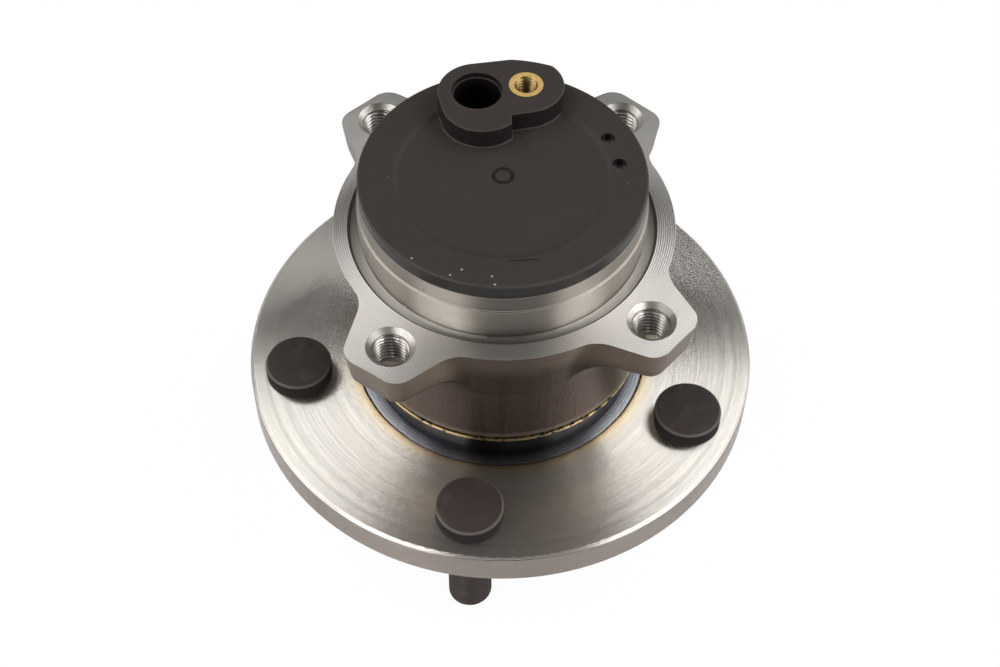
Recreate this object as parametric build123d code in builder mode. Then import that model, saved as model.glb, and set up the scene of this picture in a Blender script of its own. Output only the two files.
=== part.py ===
from build123d import *
from math import cos, pi, radians, sin, tan
import os

# A hub unit for a wheel that is not driven. All sizes are in millimetres.
# The origin is the centre of the face that the wheel bolts against, and +Z runs
# along the axle towards the suspension knuckle. "Outboard" is the wheel's side.

# Wheel side of the hub
wheel_flange_thickness = 10.3
wheel_flange_rim_width = 13.5       # from the stud circle out to the rim
wheel_flange_edge_break = 0.9
wheel_face_relief_depth = 0.8
wheel_face_relief_width = 9.5
wheel_pilot_diameter = 67.0
wheel_pilot_length = 9.0
wheel_pilot_chamfer = 1.5
wheel_pilot_wall = 7.0
hub_hollow_depth = 31.0
hub_hollow_floor_radius = 11.0
hub_hollow_corner_radius = 3.0
hub_shoulder_length = 8.1
hub_shoulder_setback = 2.3          # shoulder stands in from the outer ring's body
hub_shoulder_chamfer = 0.6
hub_relief_depth = 0.65
hub_relief_width = 4.1

# Wheel studs
stud_count = 5
stud_circle_diameter = 114.3
stud_first_angle = 41.73
stud_diameter = 12.0
stud_reach = 29.0                   # from the wheel face to the stud's tip
stud_tip_chamfer = 0.8
stud_collar_oversize = 0.8          # serrated collar over thread, on the diameter
stud_collar_setback = 0.4
stud_head_diameter = 18.3
stud_head_height = 4.7
stud_head_chamfer = 0.9

# Rolling elements and raceways
ball_count = 12
ball_gap = 2.227                    # between two balls of a row, along the pitch circle
race_conformity = 0.52              # groove radius over ball diameter
race_contact_angle = 40.0
race_shoulder_angle = 75.0          # how far round the ball the high side reaches
race_low_side = 0.3                 # height of the low side that the balls pass
race_clearance = 0.02
row_spacing = 26.0
seal_to_ball = 1.4

# Outer ring
knuckle_pilot_diameter = 75.4
knuckle_pilot_length = 14.2
pilot_lead_length = 4.9
pilot_lead_step = 0.55
pilot_root_length = 1.8
pilot_root_step = 0.45
pilot_mouth_chamfer = 0.5
ring_wall = 4.3                     # from the knuckle pilot in to the seal's bore
seal_bore_step = 2.3
body_wall = 5.9
body_chamfer = 0.8
body_draft = 0.7
flange_thickness = 10.2             # at a lug's tip
flange_root_radius = 12.0
flange_underside_drop = 2.4         # the forged underside falls towards the body
flare_length = 24.0                 # the body flares up to the flange's ring over this
flare_step = 0.12                   # the flare starts this far outside the body's line
lug_draft_angle = 7.0               # the lugs' forged walls lean in below the knuckle face
flange_ring_width = 7.6
flange_rear_ring_width = 6.5
flange_edge_radius = 2.0
face_relief_width = 2.85
face_relief_depth = 0.8

# Lugs with the knuckle's threaded holes
front_lug_angle = 45.2
rear_lug_angle = 127.85
knuckle_hole_from_pilot = 12.0
knuckle_hole_diameter = 10.0
knuckle_hole_chamfer = 1.3
long_lug_edge_distance = 9.4        # from the hole out to the tip, on the -Y side
short_lug_edge_distance = 7.9       # the same on the +Y side
lug_tip_half_width = 8.5
lug_flank_angle = 19.5
lug_corner_radius = 5.2
lug_root_radius = 9.0

# Inner ring and the formed end of the hub
inner_ring_wall = 5.4
inner_ring_start = 7.4              # from the row's centre to the ring's near face
inner_ring_end = 10.1
inner_ring_chamfer = 1.2
shaft_relief = 0.5
stub_wall = 4.0
stub_hollow_depth = 17.0
formed_lip_to_sensor = 0.7          # the speed sensor reaches down beside the lip
formed_lip_height = 4.0
formed_lip_radius = 1.6
lip_to_ring_end = 1.6

# Cages
cage_pocket_clearance = 0.15
cage_wall = 3.8
cage_running_gap = 0.35
cage_back = 1.8
cage_horn_reach = 2.8
cage_slot_width = 0.8
cage_slot_depth = 2.2

# Outboard seal
seal_width = 7.8
seal_mouth_setback = 0.4
seal_case_wall = 1.0
seal_case_flange = 3.6
seal_land_step = 1.95
slinger_wall = 1.0
slinger_setback = 0.6
labyrinth_gap = 1.2
lip_gap = 0.3
lip_thickness = 0.9
seal_body_thickness = 2.2

# Speed encoder
encoder_seat_step = 2.56
encoder_sleeve_length = 3.4
encoder_carrier_wall = 0.8
encoder_track_width = 6.2
encoder_magnet_thickness = 1.2

# Sensor cap
cap_turn = -4.6                     # how the cap is clocked on the outer ring
cap_bore_step = 2.9
cap_rim_height = 3.9
cap_edge_radius = 0.7
cap_skin = 2.1
cap_rim_gap = 0.05
cap_dish_depth = 0.5
cap_dish_radius = 26.6
cap_dish_slope = 1.4
cap_core_wall = 0.8
cap_core_length = 6.5
cap_core_ledge = 6.0
cap_pin_hole_diameter = 3.7
cap_pin_hole_inset = 7.1
cap_pin_hole_angles = (25.8, 7.9)
cap_gate_diameter = 4.85            # the middle of the round groove left by the mould's gate
cap_gate_groove_width = 0.95
cap_seal_land = 2.1                 # legs of the corner that holds the rubber ring
cap_seal_squeeze_gap = 0.03

# Sensor boss on the cap
boss_height = 5.4
sensor_hole_diameter = 12.4
sensor_seat_diameter = 13.2
sensor_seat_depth = 1.4
sensor_seat_edge_radius = 0.25
sensor_boss_angle = 105.9
sensor_lobe_radius = 10.3
sensor_tube_wall = 1.3
sensor_tube_gap = 0.8               # from the tube's end to the formed lip
front_lobe_radius = 10.75
front_lobe_shift = (1.45, -3.9)
insert_shift = (12.7, 2.5)
insert_lobe_radius = 10.0
boss_notch_shift = 9.1
boss_edge_radius = 0.4
boss_foot_radius = 0.4

# Threaded insert in the boss
insert_flange_diameter = 9.0
insert_flange_thickness = 0.9
insert_body_diameter = 7.8
insert_length = 6.6
insert_thread_diameter = 6.0
insert_chamfer = 0.15
insert_waist_depth = 0.5
insert_waist_width = 1.2

press_gap = 0.02                    # between two pieces that are pressed together

# Radii, worked inwards from the knuckle pilot
pilot_radius = knuckle_pilot_diameter / 2
seal_bore_radius = pilot_radius - ring_wall
outer_floor_radius = seal_bore_radius - seal_bore_step
contact_cosine = cos(radians(race_contact_angle))
floor_clearance = race_clearance * contact_cosine
floor_share = race_conformity - (race_conformity - 0.5) * contact_cosine
floor_circle = 2 * pi * (outer_floor_radius - floor_clearance)
ball_diameter = (floor_circle - ball_count * ball_gap) / (ball_count + 2 * pi * floor_share)
ball_radius = ball_diameter / 2
groove_radius = race_conformity * ball_diameter
groove_shift = groove_radius - ball_radius - race_clearance
shift_out = groove_shift * contact_cosine
shift_along = groove_shift * sin(radians(race_contact_angle))
pitch_radius = outer_floor_radius - groove_radius + shift_out
inner_floor_radius = pitch_radius - groove_radius + shift_out
shoulder_height = ball_radius * cos(radians(race_shoulder_angle))
inner_shoulder_radius = pitch_radius - shoulder_height
outer_shoulder_radius = pitch_radius + shoulder_height
shaft_radius = inner_floor_radius + shaft_relief
inner_bore_radius = inner_floor_radius - inner_ring_wall
seal_land_radius = inner_shoulder_radius + seal_land_step
body_radius = seal_bore_radius + body_wall
hub_shoulder_radius = body_radius - hub_shoulder_setback
slinger_radius = body_radius - slinger_setback
cap_bore_radius = outer_floor_radius + cap_bore_step
pilot_lead_radius = pilot_radius - pilot_lead_step
cap_radius = pilot_lead_radius - cap_rim_gap
encoder_seat_radius = inner_shoulder_radius - encoder_seat_step
encoder_track_inner = encoder_seat_radius + encoder_carrier_wall
sensor_circle_radius = encoder_track_inner + encoder_track_width / 2
sensor_hole_radius = sensor_hole_diameter / 2
stud_circle_radius = stud_circle_diameter / 2
wheel_flange_radius = stud_circle_radius + wheel_flange_rim_width
wheel_pilot_radius = wheel_pilot_diameter / 2

# Heights, worked from the wheel face towards the knuckle
hub_shoulder_z = wheel_flange_thickness + hub_shoulder_length
slinger_z = hub_shoulder_z + slinger_wall
ring_start_z = slinger_z + labyrinth_gap
seal_floor_z = ring_start_z + seal_mouth_setback + seal_width
outboard_row_z = seal_floor_z + seal_to_ball + ball_radius
inboard_row_z = outboard_row_z + row_spacing
inner_ring_start_z = inboard_row_z - inner_ring_start
inner_ring_end_z = inboard_row_z + inner_ring_end
lip_z = inner_ring_end_z + formed_lip_height
ring_end_z = lip_z + lip_to_ring_end
knuckle_face_z = ring_end_z - knuckle_pilot_length
flange_underside_z = knuckle_face_z - flange_thickness
cap_face_z = ring_end_z + cap_rim_height
cap_ceiling_z = cap_face_z - cap_skin
boss_z = cap_face_z + boss_height

ball_pitch_angle = 360 / ball_count

os.makedirs("parts", exist_ok=True)


# Hub: wheel flange, wheel pilot, outboard raceway and the stub that carries the
# inner ring, turned from one forging.
hollow_mouth_radius = wheel_pilot_radius - wheel_pilot_wall
hollow_floor_z = hub_hollow_depth - wheel_pilot_length
wheel_relief_radius = wheel_pilot_radius + wheel_face_relief_width
hub_relief_radius = hub_shoulder_radius + hub_relief_width
stub_hollow_radius = inner_bore_radius - stub_wall
lip_radius = sensor_circle_radius - sensor_hole_radius - formed_lip_to_sensor
land_end_z = outboard_row_z - ball_radius - seal_to_ball / 2
stud_radius = stud_diameter / 2
stud_collar_radius = stud_radius + stud_collar_oversize / 2

with BuildPart() as hub:
    with BuildSketch(Plane.XZ) as hub_section:
        with BuildLine():
            Polyline(
                (0, hollow_floor_z),
                (hub_hollow_floor_radius, hollow_floor_z),
                (hollow_mouth_radius, -wheel_pilot_length),
                (wheel_pilot_radius - wheel_pilot_chamfer, -wheel_pilot_length),
                (wheel_pilot_radius, wheel_pilot_chamfer - wheel_pilot_length),
                (wheel_pilot_radius, wheel_face_relief_depth),
                (wheel_relief_radius, wheel_face_relief_depth),
                (wheel_relief_radius, 0),
                (wheel_flange_radius - wheel_flange_edge_break, 0),
                (wheel_flange_radius, wheel_flange_edge_break),
                (wheel_flange_radius, wheel_flange_thickness - wheel_flange_edge_break),
                (wheel_flange_radius - wheel_flange_edge_break, wheel_flange_thickness),
                (hub_relief_radius, wheel_flange_thickness),
                (hub_relief_radius - hub_relief_depth, wheel_flange_thickness - hub_relief_depth),
                (hub_shoulder_radius, wheel_flange_thickness - hub_relief_depth),
                (hub_shoulder_radius, hub_shoulder_z - hub_shoulder_chamfer),
                (hub_shoulder_radius - hub_shoulder_chamfer, hub_shoulder_z),
                (seal_land_radius, hub_shoulder_z),
                (seal_land_radius, land_end_z - seal_land_step),
                (inner_shoulder_radius, land_end_z),
                (inner_shoulder_radius, outboard_row_z),
                (shaft_radius, outboard_row_z),
                (shaft_radius, inner_ring_start_z),
                (inner_bore_radius, inner_ring_start_z),
                (inner_bore_radius, inner_ring_end_z),
                (lip_radius, inner_ring_end_z),
                (lip_radius, lip_z),
                (stub_hollow_radius, lip_z),
                (stub_hollow_radius, lip_z - stub_hollow_depth),
                (0, lip_z - stub_hollow_depth - stub_hollow_radius / 2),
                close=True,
            )
        make_face()
        hollow_floor_corner = Vector(hub_hollow_floor_radius, hollow_floor_z)
        fillet(
            hub_section.vertices().sort_by_distance(hollow_floor_corner)[0],
            hub_hollow_corner_radius,
        )
        with Locations((pitch_radius + shift_out, outboard_row_z + shift_along)):
            Circle(groove_radius, mode=Mode.SUBTRACT)
    revolve(axis=Axis.Z)
    lip_edges = hub.edges().filter_by(GeomType.CIRCLE).group_by(Axis.Z)[-1]
    fillet(lip_edges, formed_lip_radius)
    with PolarLocations(stud_circle_radius, stud_count, start_angle=stud_first_angle):
        Hole(stud_collar_radius + press_gap)
hub.part.label = "hub"
export_step(hub.part, "parts/hub.step")


# Wheel studs, pressed into the flange from the knuckle's side.
stud_head_radius = stud_head_diameter / 2
head_top_z = wheel_flange_thickness + stud_head_height

for stud_index in range(stud_count):
    stud_angle = radians(stud_first_angle + stud_index * 360 / stud_count)
    stud_x = stud_circle_radius * cos(stud_angle)
    stud_y = stud_circle_radius * sin(stud_angle)
    with BuildPart() as stud:
        with BuildSketch(Plane.XZ):
            with BuildLine():
                Polyline(
                    (0, -stud_reach),
                    (stud_radius - stud_tip_chamfer, -stud_reach),
                    (stud_radius, stud_tip_chamfer - stud_reach),
                    (stud_radius, stud_collar_setback - stud_collar_oversize / 2),
                    (stud_collar_radius, stud_collar_setback),
                    (stud_collar_radius, wheel_flange_thickness),
                    (stud_head_radius, wheel_flange_thickness),
                    (stud_head_radius, head_top_z - stud_head_chamfer),
                    (stud_head_radius - stud_head_chamfer, head_top_z),
                    (0, head_top_z),
                    close=True,
                )
            make_face()
        revolve(axis=Axis.Z)
    wheel_stud = Pos(stud_x, stud_y, 0) * stud.part
    wheel_stud.label = f"wheel_stud_{stud_index + 1}"
    export_step(wheel_stud, f"parts/{wheel_stud.label}.step")


# Outer ring: forged body with four threaded lugs, bored for the two rows.
flange_ring_radius = pilot_radius + flange_ring_width
flange_rear_radius = pilot_radius + flange_rear_ring_width
face_relief_radius = pilot_radius + face_relief_width
knuckle_hole_circle = pilot_radius + knuckle_hole_from_pilot
long_lug_radius = knuckle_hole_circle + long_lug_edge_distance
short_lug_radius = knuckle_hole_circle + short_lug_edge_distance
lug_angles = (front_lug_angle, rear_lug_angle, -rear_lug_angle, -front_lug_angle)
lug_flank_slope = tan(radians(lug_flank_angle))
forging_radius = long_lug_radius + lug_corner_radius
body_top_radius = body_radius + body_draft
body_top_z = flange_underside_z - flange_underside_drop
underside_slope = flange_underside_drop / (long_lug_radius - body_top_radius)
forging_edge_z = body_top_z + underside_slope * (forging_radius - body_top_radius)
lug_depth = flange_thickness + flange_underside_drop + flange_root_radius
body_foot_z = ring_start_z + body_chamfer
body_slope = body_draft / (body_top_z - body_foot_z)
flare_z = knuckle_face_z - flare_length
flare_radius = body_radius + body_slope * (flare_z - body_foot_z) + flare_step
flat_side_x = knuckle_hole_circle * cos(radians(rear_lug_angle))
pilot_lead_z = ring_end_z - pilot_lead_length
race_entry_radius = outer_floor_radius - race_low_side
cap_bore_floor_z = ring_end_z - cap_core_length - cap_core_wall


def lug_shape(tip_radius):
    """A lug along +X that widens from its tip to the axis, with rounded corners."""
    root_half_width = lug_tip_half_width + tip_radius * lug_flank_slope
    with BuildSketch() as lug:
        with BuildLine():
            Polyline(
                (0, root_half_width),
                (tip_radius, lug_tip_half_width),
                (tip_radius, -lug_tip_half_width),
                (0, -root_half_width),
                close=True,
            )
        make_face()
        fillet(lug.vertices().group_by(Axis.X)[-1], lug_corner_radius)
    return lug.sketch


def ring_form(radius):
    """The body with its upper end flared to this radius at the knuckle face."""
    with BuildPart() as form:
        with BuildSketch(Plane.XZ):
            with BuildLine():
                TangentArc((flare_radius, flare_z), (radius, knuckle_face_z), tangent=(body_slope, 1))
                Polyline(
                    (radius, knuckle_face_z),
                    (pilot_radius, knuckle_face_z),
                    (pilot_radius, ring_end_z),
                    (0, ring_end_z),
                    (0, ring_start_z),
                    (flange_ring_radius, ring_start_z),
                    (flange_ring_radius, flare_z),
                    (flare_radius, flare_z),
                )
            make_face()
        revolve(axis=Axis.Z)
    return form.part


def is_lug_corner(edge):
    """True for the upright inside corners between a lug and the flange's ring."""
    middle = edge.center()
    upright = abs(edge.tangent_at(0.5).Z) > cos(radians(race_contact_angle))
    return upright and middle.Z > flare_z and Vector(middle.X, middle.Y).length < flange_ring_radius


def is_lug_wall(face):
    """True for a face that stands round a lug."""
    outside = Vector(face.center().X, face.center().Y).length > body_top_radius
    return outside and abs(face.normal_at().Z) < sin(radians(2 * lug_draft_angle))


def is_lower_edge(edge):
    """True for an edge below the level of a lug's underside, clear of the body."""
    middle = edge.center()
    outside = Vector(middle.X, middle.Y).length > body_top_radius + body_draft
    upright = abs(edge.tangent_at(0.5).Z) > cos(radians(race_contact_angle / 2))
    return outside and not upright and middle.Z < flange_underside_z


with BuildPart() as envelope:
    add(ring_form(flange_ring_radius))
    with Locations((flat_side_x, 0, ring_start_z)):
        Box(
            2 * flange_ring_radius,
            2 * flange_ring_radius,
            ring_end_z,
            align=(Align.MAX, Align.CENTER, Align.MIN),
            mode=Mode.SUBTRACT,
        )
    add(ring_form(flange_rear_radius))
    for lug_angle in lug_angles:
        lug_radius = short_lug_radius if lug_angle > 0 else long_lug_radius
        with BuildSketch(Plane.XY.offset(knuckle_face_z)):
            add(lug_shape(lug_radius), rotation=lug_angle)
        extrude(amount=-lug_depth, taper=lug_draft_angle)
    fillet(envelope.edges().filter_by(is_lug_corner), lug_root_radius)

with BuildPart() as outer_ring:
    with BuildSketch(Plane.XZ) as forging:
        with BuildLine():
            Polyline(
                (0, ring_start_z),
                (body_radius - body_chamfer, ring_start_z),
                (body_radius, ring_start_z + body_chamfer),
                (body_top_radius, body_top_z),
                (forging_radius, forging_edge_z),
                (forging_radius, knuckle_face_z),
                (face_relief_radius, knuckle_face_z),
                (face_relief_radius - face_relief_depth, knuckle_face_z - face_relief_depth),
                (pilot_radius - pilot_root_step, knuckle_face_z - face_relief_depth),
                (pilot_radius - pilot_root_step, knuckle_face_z + pilot_root_length),
                (pilot_radius, knuckle_face_z + pilot_root_length + pilot_root_step),
                (pilot_radius, pilot_lead_z - pilot_lead_step),
                (pilot_lead_radius, pilot_lead_z),
                (pilot_lead_radius, ring_end_z - pilot_mouth_chamfer),
                (pilot_lead_radius - pilot_mouth_chamfer, ring_end_z),
                (0, ring_end_z),
                close=True,
            )
        make_face()
        flange_root = forging.vertices().sort_by_distance((body_top_radius, body_top_z))[0]
        fillet(flange_root, flange_root_radius)
    revolve(axis=Axis.Z)
    add(envelope.part, mode=Mode.INTERSECT)
    lower_edges = outer_ring.faces().filter_by(is_lug_wall).edges().filter_by(is_lower_edge)
    fillet(lower_edges, flange_edge_radius)
    with BuildSketch(Plane.XZ):
        with BuildLine():
            Polyline(
                (0, ring_start_z),
                (seal_bore_radius + seal_mouth_setback, ring_start_z),
                (seal_bore_radius, ring_start_z + seal_mouth_setback),
                (seal_bore_radius, seal_floor_z),
                (race_entry_radius, seal_floor_z),
                (race_entry_radius, outboard_row_z),
                (outer_shoulder_radius, outboard_row_z),
                (outer_shoulder_radius, inboard_row_z),
                (race_entry_radius, inboard_row_z),
                (race_entry_radius, cap_bore_floor_z),
                (cap_bore_radius, cap_bore_floor_z),
                (cap_bore_radius, ring_end_z - cap_seal_land),
                (cap_bore_radius + cap_seal_land, ring_end_z),
                (0, ring_end_z),
                close=True,
            )
        make_face()
        with Locations(
            (pitch_radius - shift_out, outboard_row_z - shift_along),
            (pitch_radius - shift_out, inboard_row_z + shift_along),
        ):
            Circle(groove_radius)
    revolve(axis=Axis.Z, mode=Mode.SUBTRACT)
    for lug_angle in lug_angles:
        with PolarLocations(knuckle_hole_circle, 1, start_angle=lug_angle):
            with Locations((0, 0, knuckle_face_z)):
                CounterSinkHole(
                    radius=knuckle_hole_diameter / 2,
                    counter_sink_radius=knuckle_hole_diameter / 2 + knuckle_hole_chamfer,
                    depth=knuckle_face_z - ring_start_z,
                    counter_sink_angle=90,
                )
outer_ring.part.label = "outer_ring"
export_step(outer_ring.part, "parts/outer_ring.step")


# Inner ring, pressed on the stub and held by the formed lip.
ring_bore_radius = inner_bore_radius + press_gap
encoder_seat_z = inner_ring_end_z - encoder_sleeve_length - encoder_carrier_wall / 2

with BuildPart() as inner_ring:
    with BuildSketch(Plane.XZ):
        with BuildLine():
            Polyline(
                (ring_bore_radius + inner_ring_chamfer, inner_ring_start_z),
                (shaft_radius, inner_ring_start_z),
                (shaft_radius, inboard_row_z),
                (inner_shoulder_radius, inboard_row_z),
                (inner_shoulder_radius, encoder_seat_z),
                (encoder_seat_radius, encoder_seat_z),
                (encoder_seat_radius, inner_ring_end_z),
                (ring_bore_radius, inner_ring_end_z),
                (ring_bore_radius, inner_ring_start_z + inner_ring_chamfer),
                close=True,
            )
        make_face()
        with Locations((pitch_radius + shift_out, inboard_row_z - shift_along)):
            Circle(groove_radius, mode=Mode.SUBTRACT)
    revolve(axis=Axis.Z)
inner_ring.part.label = "inner_ring"
export_step(inner_ring.part, "parts/inner_ring.step")


# Balls and snap cages, one set for each row. A cage's solid back faces the
# middle of the unit and its horns reach past the balls' centres.
cage_outer_radius = outer_shoulder_radius - cage_running_gap
cage_inner_radius = cage_outer_radius - cage_wall
pocket_radius = ball_radius + cage_pocket_clearance
half_pitch_angle = ball_pitch_angle / 2
rows = (("outboard", outboard_row_z, 1, 0), ("inboard", inboard_row_z, -1, half_pitch_angle))

for row_name, row_z, inward, first_ball_angle in rows:
    horn_tip_z = row_z - inward * cage_horn_reach
    cage_back_z = row_z + inward * (pocket_radius + cage_back)
    with BuildPart() as cage:
        with BuildSketch(Plane.XZ):
            with BuildLine():
                Polyline(
                    (cage_inner_radius, horn_tip_z),
                    (cage_outer_radius, horn_tip_z),
                    (cage_outer_radius, cage_back_z),
                    (cage_inner_radius, cage_back_z),
                    close=True,
                )
            make_face()
        revolve(axis=Axis.Z)
        with PolarLocations(pitch_radius, ball_count, start_angle=first_ball_angle):
            with Locations((0, 0, row_z)):
                Sphere(pocket_radius, mode=Mode.SUBTRACT)
        with PolarLocations(pitch_radius, ball_count, start_angle=first_ball_angle + half_pitch_angle):
            with Locations((0, 0, horn_tip_z)):
                Box(2 * cage_wall, cage_slot_width, 2 * cage_slot_depth, mode=Mode.SUBTRACT)
    cage.part.label = f"{row_name}_cage"
    export_step(cage.part, f"parts/{cage.part.label}.step")

    for ball_index in range(ball_count):
        ball_angle = radians(first_ball_angle + ball_index * ball_pitch_angle)
        with BuildPart() as ball:
            with Locations((pitch_radius * cos(ball_angle), pitch_radius * sin(ball_angle), row_z)):
                Sphere(ball_radius)
        ball.part.label = f"{row_name}_ball_{ball_index + 1}"
        export_step(ball.part, f"parts/{ball.part.label}.step")


# Slinger, pressed on the hub against its shoulder. Its disc covers the seal.
slinger_sleeve_radius = seal_land_radius + press_gap
slinger_sleeve_outer = slinger_sleeve_radius + slinger_wall
slinger_end_z = seal_floor_z - seal_to_ball

with BuildPart() as seal_slinger:
    with BuildSketch(Plane.XZ):
        with BuildLine():
            Polyline(
                (slinger_sleeve_radius, hub_shoulder_z),
                (slinger_radius, hub_shoulder_z),
                (slinger_radius, slinger_z),
                (slinger_sleeve_outer, slinger_z),
                (slinger_sleeve_outer, slinger_end_z),
                (slinger_sleeve_radius, slinger_end_z),
                close=True,
            )
        make_face()
    revolve(axis=Axis.Z)
seal_slinger.part.label = "seal_slinger"
export_step(seal_slinger.part, "parts/seal_slinger.step")


# Seal case, pressed in the outer ring.
case_radius = seal_bore_radius - press_gap
case_inner_radius = case_radius - seal_case_wall
case_hole_radius = case_radius - seal_case_flange
case_mouth_z = ring_start_z + seal_mouth_setback
case_flange_z = seal_floor_z - seal_case_wall

with BuildPart() as seal_case:
    with BuildSketch(Plane.XZ):
        with BuildLine():
            Polyline(
                (case_radius, case_mouth_z),
                (case_radius, seal_floor_z),
                (case_hole_radius, seal_floor_z),
                (case_hole_radius, case_flange_z),
                (case_inner_radius, case_flange_z),
                (case_inner_radius, case_mouth_z),
                close=True,
            )
        make_face()
    revolve(axis=Axis.Z)
seal_case.part.label = "seal_case"
export_step(seal_case.part, "parts/seal_case.step")


# Rubber of the seal: a body bonded to the case, one lip that runs on the
# slinger's sleeve and two that run on its disc.
lip_tip_radius = slinger_sleeve_outer + lip_gap
lip_tip_z = slinger_z + lip_gap
seal_body_z = case_flange_z - seal_body_thickness
seal_body_inner = (lip_tip_radius + case_hole_radius) / 2
outer_lip_tip = case_inner_radius - lip_thickness - lip_gap
inner_lip_tip = (seal_body_inner + outer_lip_tip) / 2

with BuildPart() as seal_rubber:
    with BuildSketch(Plane.XZ):
        with BuildLine():
            Polyline(
                (seal_body_inner, seal_body_z),
                (case_inner_radius, seal_body_z),
                (case_inner_radius, case_flange_z),
                (seal_body_inner + lip_thickness, case_flange_z),
                (lip_tip_radius + lip_thickness, slinger_end_z),
                (lip_tip_radius, slinger_end_z),
                close=True,
            )
        make_face()
        for tip_radius in (inner_lip_tip, outer_lip_tip):
            with BuildLine():
                Polyline(
                    (tip_radius - lip_thickness, case_flange_z),
                    (tip_radius, lip_tip_z),
                    (tip_radius + lip_thickness, lip_tip_z),
                    (tip_radius + lip_thickness / 2, case_flange_z),
                    close=True,
                )
            make_face()
    revolve(axis=Axis.Z)
seal_rubber.part.label = "seal_rubber"
export_step(seal_rubber.part, "parts/seal_rubber.step")


# Speed encoder: a steel carrier on the inner ring and the magnet bonded to it.
carrier_radius = encoder_seat_radius + press_gap
encoder_track_outer = encoder_track_inner + encoder_track_width

with BuildPart() as encoder_carrier:
    with BuildSketch(Plane.XZ):
        with BuildLine():
            Polyline(
                (carrier_radius, inner_ring_end_z - encoder_sleeve_length),
                (encoder_track_inner, inner_ring_end_z - encoder_sleeve_length),
                (encoder_track_inner, inner_ring_end_z - encoder_carrier_wall),
                (encoder_track_outer, inner_ring_end_z - encoder_carrier_wall),
                (encoder_track_outer, inner_ring_end_z),
                (carrier_radius, inner_ring_end_z),
                close=True,
            )
        make_face()
    revolve(axis=Axis.Z)
encoder_carrier.part.label = "encoder_carrier"
export_step(encoder_carrier.part, "parts/encoder_carrier.step")

with BuildPart() as encoder_magnet:
    with BuildSketch(Plane.XY.offset(inner_ring_end_z)):
        Circle(encoder_track_outer)
        Circle(encoder_track_inner, mode=Mode.SUBTRACT)
    extrude(amount=encoder_magnet_thickness)
encoder_magnet.part.label = "encoder_magnet"
export_step(encoder_magnet.part, "parts/encoder_magnet.step")


# Sensor cap: a moulded disc with the boss that the speed sensor bolts to.
cap_plane = Plane.XY.rotated((0, 0, cap_turn))
core_radius = cap_bore_radius - press_gap
dish_z = cap_face_z - cap_dish_depth
sensor_x = sensor_circle_radius * cos(radians(sensor_boss_angle))
sensor_y = sensor_circle_radius * sin(radians(sensor_boss_angle))
front_lobe_x = sensor_x + front_lobe_shift[0]
front_lobe_y = sensor_y + front_lobe_shift[1]
insert_x = sensor_x + insert_shift[0]
insert_y = sensor_y + insert_shift[1]
sensor_tube_radius = sensor_hole_radius + sensor_tube_wall
sensor_tube_end_z = lip_z + sensor_tube_gap
insert_radius = insert_body_diameter / 2
insert_flange_radius = insert_flange_diameter / 2
insert_bottom_z = boss_z - insert_length

with BuildSketch() as sensor_lobe_circles:
    with Locations((sensor_x, sensor_y)):
        Circle(sensor_lobe_radius)
    with Locations((front_lobe_x, front_lobe_y)):
        Circle(front_lobe_radius)

with BuildSketch() as insert_lobe_circles:
    with Locations((sensor_x, sensor_y)):
        Circle(sensor_lobe_radius)
    with Locations((insert_x, insert_y)):
        Circle(insert_lobe_radius)

with BuildSketch() as sensor_lobe:
    make_hull(sensor_lobe_circles.sketch.edges())
    with Locations((sensor_x + boss_notch_shift, 0)):
        Rectangle(
            cap_radius,
            2 * cap_radius,
            align=(Align.MIN, Align.CENTER),
            mode=Mode.SUBTRACT,
        )

with BuildSketch() as boss_outline:
    make_hull(insert_lobe_circles.sketch.edges())
    add(sensor_lobe.sketch)
    Circle(cap_radius - cap_edge_radius, mode=Mode.INTERSECT)


def is_seat_edge(edge):
    """True for the inner edge of the ledge in the sensor's hole."""
    at_ledge = abs(edge.center().Z - boss_z + sensor_seat_depth) < press_gap
    return at_ledge and abs(edge.radius - sensor_hole_radius) < press_gap


def is_boss_foot(edge):
    """True for an edge where the boss's wall meets the dish."""
    around_axle = edge.geom_type == GeomType.CIRCLE and edge.arc_center.Y < press_gap
    return abs(edge.center().Z - dish_z) < press_gap and not around_axle


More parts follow.
